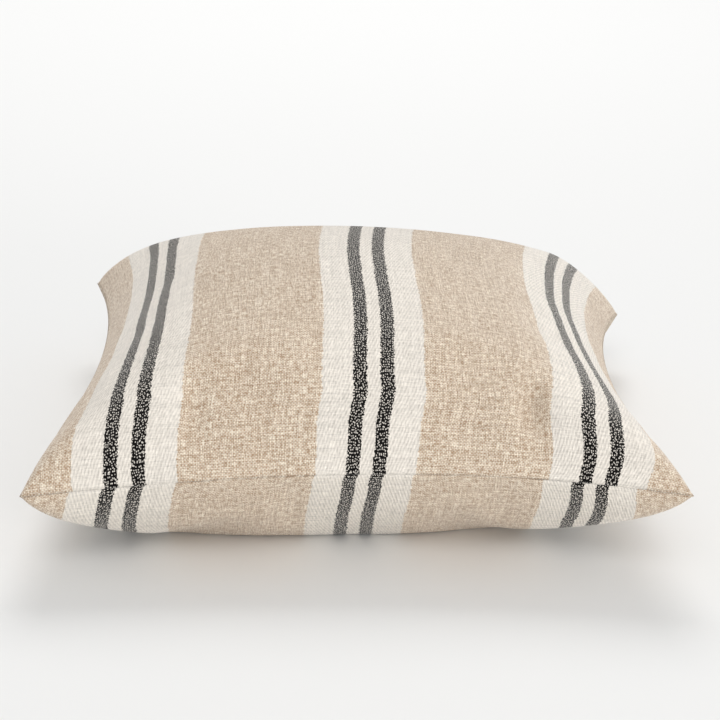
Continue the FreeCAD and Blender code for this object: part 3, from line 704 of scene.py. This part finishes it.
def striped_linen(weave):
    """Woven linen and cotton with yarn-dyed stripes: a dry, slubby, slightly fuzzy surface with no gloss."""
    material, tree = new_material("striped_linen_cotton")
    flat = node(tree, "UVMap", uv_map="flat_cloth")
    # uneven yarns: the whole grid wanders by a fraction of a yarn
    wander = node(tree, "TexNoise", {"Vector": flat, "Scale": 0.2 / weave.yarn, "Detail": 2.0})
    centred = node(tree, "VectorMath", (wander.outputs["Color"], (0.5, 0.5, 0.5)), operation="SUBTRACT")
    strength = node(tree, "VectorMath", {0: centred, "Scale": 1.1 * weave.yarn}, operation="SCALE")
    place = node(tree, "VectorMath", (flat, strength), operation="ADD")
    axes = node(tree, "SeparateXYZ", (place,))
    warp, weft = axes.outputs["X"], axes.outputs["Y"]

    # plain weave: a product of waves gives staggered crossings, positive where the weft lies on top
    waves = []
    for way in (warp, weft):
        turns = node(tree, "Math", (way, math.pi / weave.yarn), operation="MULTIPLY")
        waves.append(node(tree, "Math", (turns,), operation="SINE"))
    plain = node(tree, "Math", waves, operation="MULTIPLY")
    # twill: steep lines that climb to the right
    across = node(tree, "Math", (warp, 2 * math.pi / weave.twill_across), operation="MULTIPLY")
    slant = node(tree, "Math", (weft, -2 * math.pi / weave.twill_along, across), operation="MULTIPLY_ADD")
    twill = node(tree, "Math", (slant,), operation="SINE")

    # dashes and slubs: short and long streaks of thicker yarn, along each way of the cloth
    streaks = []
    for wide, long in ((weave.dash_width, weave.dash_length), (weave.slub_width, weave.slub_length)):
        pair = []
        for stretch in ((1 / wide, 1 / long, 1), (1 / long, 1 / wide, 1)):
            long_way = node(tree, "Mapping", {"Vector": flat, "Scale": stretch})
            pair.append(node(tree, "TexNoise", {"Vector": long_way, "Scale": 1.0, "Detail": 2.0}))
        both = node(tree, "Math", pair, operation="ADD")
        streaks.append(node(tree, "MapRange", {"Value": both, "From Min": 0.75, "From Max": 1.25,
                                               "To Min": -1.0, "To Max": 1.0}))
    dash, slub = streaks

    # stripes repeat across the cloth; distance from the middle of the nearest group picks the yarn,
    # and each pick of weft turns back a little further in or out
    pick = node(tree, "Math", (weft, 1 / weave.yarn), operation="MULTIPLY")
    pick = node(tree, "Math", (pick,), operation="FLOOR")
    turned = node(tree, "TexWhiteNoise", {"W": pick}, noise_dimensions="1D")
    group = node(tree, "Math", (turned, weave.ragged, warp), operation="MULTIPLY_ADD")
    group = node(tree, "Math", (group, (weave.repeat - weave.ragged) / 2), operation="ADD")
    group = node(tree, "Math", (group, weave.repeat), operation="FLOORED_MODULO")
    group = node(tree, "Math", (group, weave.repeat / 2), operation="SUBTRACT")
    away = node(tree, "Math", (group,), operation="ABSOLUTE")
    middle = weave.middle / 2
    is_black = node(tree, "Math", (away, middle + weave.black / 2, weave.black / 2), operation="COMPARE")
    is_white = node(tree, "Math", (away, middle + weave.black + weave.white), operation="LESS_THAN")

    # height of the cloth: crossings in plain weave, lines in twill
    crossing = node(tree, "Math", (plain,), operation="ABSOLUTE")
    crossing = node(tree, "Math", (crossing, 0.6), operation="POWER")
    lines = node(tree, "MapRange", {"Value": twill, "From Min": -1.0, "From Max": 1.0, "To Min": 0.35})
    not_black = node(tree, "Math", (1.0, is_black), operation="SUBTRACT")
    in_twill = node(tree, "Math", (is_white, not_black), operation="MULTIPLY")
    height = node(tree, "Mix", {0: in_twill, 2: crossing, 3: lines}, data_type="FLOAT")
    height = node(tree, "Math", (dash, 0.3, height), operation="MULTIPLY_ADD")
    height = node(tree, "Math", (slub, 0.15, height), operation="MULTIPLY_ADD")
    bump = node(tree, "Bump", {"Height": height, "Strength": 0.8, "Distance": 0.4 * MM})

    # yarn colours: a tan weft over a cream warp, bleached bands, black stripes crossed by the pale weft
    tan, cream, white, black = ((*c, 1) for c in (weave.tan_yarn, weave.cream_yarn, weave.white_yarn,
                                                  weave.black_yarn))
    flecks = node(tree, "Math", (dash, 0.45, 0.5), operation="MULTIPLY_ADD")
    flecks = node(tree, "Math", (slub, 0.14, flecks), operation="MULTIPLY_ADD")
    flecks = node(tree, "Math", (plain, -0.35, flecks), operation="MULTIPLY_ADD")
    linen = node(tree, "Mix", {0: flecks, 6: tan, 7: cream}, data_type="RGBA")
    pale = node(tree, "Mix", {0: is_white, 6: linen.outputs[2], 7: white}, data_type="RGBA")
    # the real crossings are too fine to show, so the dots are drawn about twice as coarse
    pitch = weave.dot_pitch
    spread = node(tree, "Mapping", {"Vector": flat, "Scale": (1 / pitch, 0.75 / pitch, 1)})
    dots = node(tree, "TexVoronoi", {"Vector": spread, "Scale": 1.0, "Randomness": 0.8},
                voronoi_dimensions="2D")
    dots = node(tree, "Math", (dash, -0.08, dots), operation="MULTIPLY_ADD")
    dots = node(tree, "MapRange", {"Value": dots, "From Min": weave.dot_core, "From Max": weave.dot_edge,
                                   "To Min": 1.0, "To Max": 0.0})
    crossed = node(tree, "Mix", {0: dots, 6: black, 7: white}, data_type="RGBA")
    yarn = node(tree, "Mix", {0: is_black, 6: pale.outputs[2], 7: crossed.outputs[2]}, data_type="RGBA")
    # tone of each yarn: slubs and dashes are paler; then painted shade: the gaps between yarns and between
    # twill lines are darker, following the cloth's height
    shade = node(tree, "Math", (slub, 0.05, 0.8), operation="MULTIPLY_ADD")
    shade = node(tree, "Math", (dash, 0.06, shade), operation="MULTIPLY_ADD")
    tone_and_gap_shade = node(tree, "Math", (height, 0.28, shade), operation="MULTIPLY_ADD")
    grey = node(tree, "CombineColor", (tone_and_gap_shade, tone_and_gap_shade, tone_and_gap_shade))
    tinted = node(tree, "Mix", {0: 1.0, 6: yarn.outputs[2], 7: grey}, data_type="RGBA", blend_type="MULTIPLY")
    return surfaced(material, {"Base Color": tinted.outputs[2], "Normal": bump, "Roughness": 0.95,
                               "Specular IOR Level": 0.15, "Sheen Weight": weave.fuzz,
                               "Sheen Roughness": 0.3, "Sheen Tint": (1, 0.97, 0.93, 1)})


def woven(name, hex_colour, spacing, roughness=0.85, sheen=0.3):
    """Fine plain cloth: crossings of two sets of threads, with painted shade that makes the colour paler on
    top of each thread and darker between threads, plus random lint tone.
    """
    material, tree = new_material(name)
    place = node(tree, "TexCoord").outputs["Object"]
    scaled = node(tree, "VectorMath", {0: place, "Scale": math.pi / spacing}, operation="SCALE")
    axes = node(tree, "SeparateXYZ", (scaled,))
    waves = [node(tree, "Math", (axis,), operation="SINE") for axis in axes.outputs]
    flat = node(tree, "Math", (waves[0], waves[1]), operation="MULTIPLY")
    crossing = node(tree, "Math", (waves[2], 0.5, flat), operation="MULTIPLY_ADD")
    lint = node(tree, "TexNoise", {"Vector": place, "Scale": 0.4 / spacing, "Detail": 4.0})
    height = node(tree, "Math", (lint, 1.2, crossing), operation="MULTIPLY_ADD")
    # painted shade: the colour follows the threads' height, paler on the tops and darker between them; the
    # lint noise in it is random tone
    shade = node(tree, "MapRange", {"Value": height, "From Min": -1.0, "From Max": 2.0,
                                    "To Min": 0.82, "To Max": 1.06})
    grey = node(tree, "CombineColor", (shade, shade, shade))
    colour_in = (*linear(hex_colour), 1)
    tinted = node(tree, "Mix", {0: 1.0, 6: colour_in, 7: grey}, data_type="RGBA", blend_type="MULTIPLY")
    bump = node(tree, "Bump", {"Height": height, "Strength": 0.5, "Distance": spacing / 4})
    return surfaced(material, {"Base Color": tinted.outputs[2], "Normal": bump, "Roughness": roughness,
                               "Sheen Weight": sheen})


def spun_thread(name, hex_colour, lay):
    """Sewing thread: plies twisted round each other, drawn as slanting ridges."""
    material, tree = new_material(name)
    place = node(tree, "TexCoord").outputs["Object"]
    turned = node(tree, "Mapping", {"Vector": place, "Rotation": (0.6, 0.5, 0.7)})
    ridges = node(tree, "TexWave", {"Vector": turned, "Scale": 0.3 / lay, "Distortion": 1.0})
    bump = node(tree, "Bump", {"Height": ridges, "Strength": 0.6, "Distance": lay / 3})
    return surfaced(material, {"Base Color": (*linear(hex_colour), 1), "Normal": bump, "Roughness": 0.7,
                               "Sheen Weight": 0.3})


def nylon():
    """Drawn nylon monofilament: smooth, faintly milky, with a soft gloss."""
    material, tree = new_material("nylon_monofilament")
    place = node(tree, "TexCoord").outputs["Object"]
    cloud = node(tree, "TexNoise", {"Vector": place, "Scale": 0.7 / MM, "Detail": 2.0})
    tone = node(tree, "Mix", {0: cloud, 6: (*linear("#CDBCA0"), 1), 7: (*linear("#DACBB1"), 1)},
                data_type="RGBA")
    gloss = node(tree, "MapRange", {"Value": cloud, "To Min": 0.28, "To Max": 0.42})
    return surfaced(material, {"Base Color": tone.outputs[2], "Roughness": gloss, "IOR": 1.53,
                               "Subsurface Weight": 0.15, "Subsurface Radius": (1 * MM, 1 * MM, 1 * MM)})


def nickel_plate():
    """Die-cast zinc, tumbled and nickel plated: a warm bright metal with fine handling scuffs."""
    material, tree = new_material("nickel_plated_zinc")
    place = node(tree, "TexCoord").outputs["Object"]
    scuff = node(tree, "TexNoise", {"Vector": place, "Scale": 0.9 / MM, "Detail": 5.0, "Roughness": 0.7})
    tone = node(tree, "Mix", {0: scuff, 6: (*linear("#B9B4A8"), 1), 7: (*linear("#D2CEC4"), 1)},
                data_type="RGBA")
    gloss = node(tree, "MapRange", {"Value": scuff, "From Min": 0.3, "From Max": 0.7,
                                    "To Min": 0.2, "To Max": 0.4})
    bump = node(tree, "Bump", {"Height": scuff, "Strength": 0.1, "Distance": 0.05 * MM})
    return surfaced(material, {"Base Color": tone.outputs[2], "Normal": bump, "Roughness": gloss,
                               "Metallic": 1.0})


def loose_fibre():
    """Carded polyester fibre: white, matt and woolly."""
    material, tree = new_material("carded_fibre")
    place = node(tree, "TexCoord").outputs["Object"]
    curls = node(tree, "TexNoise", {"Vector": place, "Scale": 0.26 / MM, "Detail": 8.0, "Roughness": 0.75,
                                    "Distortion": 2.5})
    bump = node(tree, "Bump", {"Height": curls, "Strength": 1.0, "Distance": 1.5 * MM})
    return surfaced(material, {"Base Color": (*linear("#F2F1ED"), 1), "Normal": bump, "Roughness": 1.0,
                               "Sheen Weight": 0.8})


def paper(studio):
    """Matt white background paper: pale, flat, with the faintest tooth."""
    material, tree = new_material("background_paper")
    place = node(tree, "TexCoord").outputs["Object"]
    grain = node(tree, "TexNoise", {"Vector": place, "Scale": 0.9 / MM})
    bump = node(tree, "Bump", {"Height": grain, "Strength": 0.05, "Distance": 0.1 * MM})
    return surfaced(material, {"Base Color": (*studio.floor, 1), "Normal": bump, "Roughness": 0.75,
                               "Specular IOR Level": 0.2})


# ---- operators ----

grids = {}


class PILLOW_OT_cover(bpy.types.Operator):
    """Sew, fill and settle the striped cover"""
    bl_idname = "pillow.cover"
    bl_label = "Cover"

    def execute(self, context):
        scene = context.scene
        grids.update(settle(scene.pillow_shape, scene.pillow_cloth))
        linen = striped_linen(scene.pillow_weave)
        for name, face in FACES.items():
            panel = cover_panel(f"cover_{name}", grids[name], scene.pillow_shape, scene.pillow_cloth,
                                scene.pillow_weave, face)
            dress(panel, linen, f"cover_{name}_panel")
        return {"FINISHED"}


class PILLOW_OT_insert(bpy.types.Operator):
    """Put the cotton insert and its loose filling inside the cover"""
    bl_idname = "pillow.insert"
    bl_label = "Insert"

    def execute(self, context):
        shape, insert = context.scene.pillow_shape, context.scene.pillow_insert
        lining = woven("cotton_cambric", "#F0EEE8", 0.8 * MM)
        halves = inner_forms(shape, insert.reach, insert.clear, insert.cells)
        index = np.arange((insert.cells + 1) ** 2).reshape(insert.cells + 1, -1)
        for name, face in FACES.items():
            panel = new_piece(f"insert_{name}", halves[name].reshape(-1, 3), cell_faces(index, face))
            thicken(panel, insert.thickness)
            dress(panel, lining, f"insert_{name}_panel")

        spun_thread("cotton_thread", "#DDD3C0", 0.4 * MM)
        ring = [halves["front"][place] for place in border(insert.cells + 1)]
        stitches = whipped(resampled(np.array(ring + ring[:1]), insert.stitch), 2 * insert.thickness)
        sew("insert_seam_stitches", stitches, "insert_seam_thread")
        low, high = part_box("insert_closing_stitches")
        edge = resampled(halves["front"][:, -1 if low.y + high.y > 0 else 0], insert.stitch / 2)
        edge = edge[(edge[:, 0] > low.x) & (edge[:, 0] < high.x)]
        sew("insert_closing_whipstitch", whipped(edge, 3 * insert.thickness), "insert_closing_stitches")

        halves = inner_forms(shape, insert.reach - STUFFING_SHORT, insert.clear + STUFFING_CLEAR,
                             insert.cells)
        points = np.concatenate([halves[name].reshape(-1, 3) for name in FACES])
        faces = np.concatenate([cell_faces(index, 1), cell_faces(index + index.size, -1)])
        stuffing = new_piece("insert_stuffing", points, faces)
        pick_out(stuffing)
        bpy.ops.object.mode_set(mode="EDIT")
        bpy.ops.mesh.select_all(action="SELECT")
        bpy.ops.mesh.remove_doubles(threshold=0.01 * MM)
        bpy.ops.object.mode_set(mode="OBJECT")
        dress(stuffing, loose_fibre(), "insert_fill")
        return {"FINISHED"}


class PILLOW_OT_seams(bpy.types.Operator):
    """Sew the lockstitch and overlock threads of the three closed sides"""
    bl_idname = "pillow.seams"
    bl_label = "Seam threads"

    def execute(self, context):
        cloth = context.scene.pillow_cloth
        through = cloth.thickness + THREAD_PROUD
        for side in ("front", "left", "right"):
            stitch = whipped(seam_line(side, LOCK_INSET, LOCK_SPACING, SEAM_TRIM), through)
            sew(f"lockstitch_{side}", stitch, f"seam_thread_{side}")
            wrap = seam_line(side, 0, OVERLOCK_SPACING, SEAM_TRIM)
            dx, dy = SIDES[side]
            # one loop: over the cloth, round the raw edge, under the cloth, round the edge again
            step = np.arange(len(wrap)) % 4
            depth = cloth.allowance + np.where(step % 2, OVERLOCK_PAST, -OVERLOCK_BITE)
            wrap[:, 0] -= dx * depth
            wrap[:, 1] -= dy * depth
            wrap[:, 2] += np.array([through, 0, -through, 0])[step]
            sew(f"overlock_{side}", wrap, f"overlock_thread_{side}")
        return {"FINISHED"}


class PILLOW_OT_zip(bpy.types.Operator):
    """Coil, tapes, stops, slider and pull of the hidden zip"""
    bl_idname = "pillow.zip"
    bl_label = "Zip"

    def execute(self, context):
        filament = nylon()
        for name, start in (("zip_coil_upper", 0), ("zip_coil_lower", math.pi)):
            turns = tube(f"{name}_turns", coil_turns(name, start), FILAMENT_RADIUS)
            dress(turns, filament, name)
        tape = woven("polyester_tape", "#CDBFA8", 0.5 * MM, roughness=0.7)
        thread = spun_thread("polyester_thread", "#D8CCB6", 0.4 * MM)
        metal = nickel_plate()
        finish = {"zip_tape": tape, "zip_stitching": thread, "zip_bar_tacks": thread, "zip_top_stop": metal,
                  "zip_bottom_stop": metal, "zip_slider": metal, "zip_pull": metal}
        for name, piece in frame["nodes"].items():
            for start, material in finish.items():
                if name.startswith(start):
                    piece.data.materials.clear()
                    piece.data.materials.append(material)
        return {"FINISHED"}


class PILLOW_OT_labels(bpy.types.Operator):
    """Hang the two blank satin labels"""
    bl_idname = "pillow.labels"
    bl_label = "Labels"

    def execute(self, context):
        label = context.scene.pillow_label
        satin = woven("satin_ribbon", "#EFEDE6", 0.4 * MM, roughness=0.45, sheen=0.1)
        for name, side, inset, top in (("care_label", "left", label.care_inset, label.care_top),
                                       ("insert_label", "right", label.insert_inset, label.insert_top)):
            line = seam_line(side, inset, LABEL_STEP, 0)
            middle = line[len(line) // 2]
            dx = SIDES[side][0]
            columns, rows = (round(size / LABEL_STEP) + 1 for size in (label.width, label.height))
            wide, tall = np.meshgrid(np.linspace(-label.width / 2, label.width / 2, columns),
                                     np.linspace(0, label.height, rows), indexing="ij")
            waves = np.sin(tall / CURL_DOWN) + CURL_ACROSS_SHARE * np.sin(wide / CURL_ACROSS)
            curl = label.curl * waves
            points = np.stack([middle[0] - dx * curl, middle[1] + wide, middle[2] + top - tall], -1)
            index = np.arange(wide.size).reshape(wide.shape)
            ribbon = new_piece(f"{name}_ribbon", points.reshape(-1, 3), cell_faces(index, -dx))
            thicken(ribbon, label.thickness)
            dress(ribbon, satin, name)
        return {"FINISHED"}


# each soft box's width and place, in metres
SOFT_BOXES = {"back": (2.5, (0, 3.0, 3.5)), "front": (3.0, (-0.5, -3.5, 4.0)), "low": (1.2, (2.2, -2.2, 0.4))}


class PILLOW_OT_stage(bpy.types.Operator):
    """Put the pillow on white paper under soft light, with a camera"""
    bl_idname = "pillow.stage"
    bl_label = "Stage"

    def execute(self, context):
        studio = context.scene.pillow_studio
        bpy.ops.object.select_all(action="DESELECT")
        bpy.ops.mesh.primitive_plane_add(size=studio.sweep)
        floor = context.object
        floor.name = "paper_floor"
        floor.data.materials.append(paper(studio))

        world = bpy.data.worlds.new("white_studio")
        world.use_nodes = True
        background = world.node_tree.nodes["Background"]
        background.inputs["Color"].default_value = (1, 1, 1, 1)
        background.inputs["Strength"].default_value = studio.sky
        context.scene.world = world
        context.scene.view_settings.view_transform = "Standard"

        for name, (size, place) in SOFT_BOXES.items():
            light = bpy.data.lights.new(f"{name}_box", "AREA")
            light.shape = "DISK"
            light.size = size
            light.energy = getattr(studio, name)
            lamp = bpy.data.objects.new(f"{name}_box", light)
            lamp.location = place
            lamp.rotation_mode = "QUATERNION"
            lamp.rotation_quaternion = (Vector((0, 0, CROWN / 2)) - lamp.location).to_track_quat("-Z", "Y")
            lamp.visible_camera = False
            context.scene.collection.objects.link(lamp)

        camera = bpy.data.cameras.new("camera")
        camera.lens = studio.lens
        camera.sensor_width = 36
        eye = bpy.data.objects.new("camera", camera)
        forward = Vector((0, math.cos(studio.elevation), -math.sin(studio.elevation)))
        level = Vector((1, 0, 0))
        upward = level.cross(forward)
        right = level * math.cos(studio.roll) + upward * math.sin(studio.roll)
        above = upward * math.cos(studio.roll) - level * math.sin(studio.roll)
        axes = Matrix((right, above, -forward)).transposed().to_4x4()
        place = Matrix.Translation(Vector(studio.aim) - forward * studio.distance) @ axes
        eye.matrix_world = Matrix.Rotation(studio.turn, 4, "Z") @ place
        context.scene.collection.objects.link(eye)
        context.scene.camera = eye
        return {"FINISHED"}


class PILLOW_PT_panel(bpy.types.Panel):
    """Lists the pillow's pieces in the sidebar"""
    bl_idname = "PILLOW_PT_panel"
    bl_label = "Pillow"
    bl_space_type = "VIEW_3D"
    bl_region_type = "UI"
    bl_category = "Pillow"

    def draw(self, context):
        for operator in OPERATORS:
            self.layout.operator(operator.bl_idname)


OPERATORS = (PILLOW_OT_cover, PILLOW_OT_insert, PILLOW_OT_seams, PILLOW_OT_zip, PILLOW_OT_labels,
             PILLOW_OT_stage)
SETTINGS = {"pillow_shape": PillowShape, "pillow_cloth": ClothSettings, "pillow_insert": InsertSettings,
            "pillow_label": LabelSettings, "pillow_weave": WeaveSettings, "pillow_studio": StudioSettings}


def register():
    for group in SETTINGS.values():
        bpy.utils.register_class(group)
    for name, group in SETTINGS.items():
        setattr(bpy.types.Scene, name, bpy.props.PointerProperty(type=group))
    for operator in OPERATORS:
        bpy.utils.register_class(operator)
    bpy.utils.register_class(PILLOW_PT_panel)


def unregister():
    bpy.utils.unregister_class(PILLOW_PT_panel)
    for operator in reversed(OPERATORS):
        bpy.utils.unregister_class(operator)
    for name in SETTINGS:
        delattr(bpy.types.Scene, name)
    for group in SETTINGS.values():
        bpy.utils.unregister_class(group)


def main():
    register()
    bpy.ops.pillow.cover()
    bpy.ops.pillow.insert()
    bpy.ops.pillow.seams()
    bpy.ops.pillow.zip()
    bpy.ops.pillow.labels()
    bpy.ops.pillow.stage()


if __name__ == "__main__":
    main()
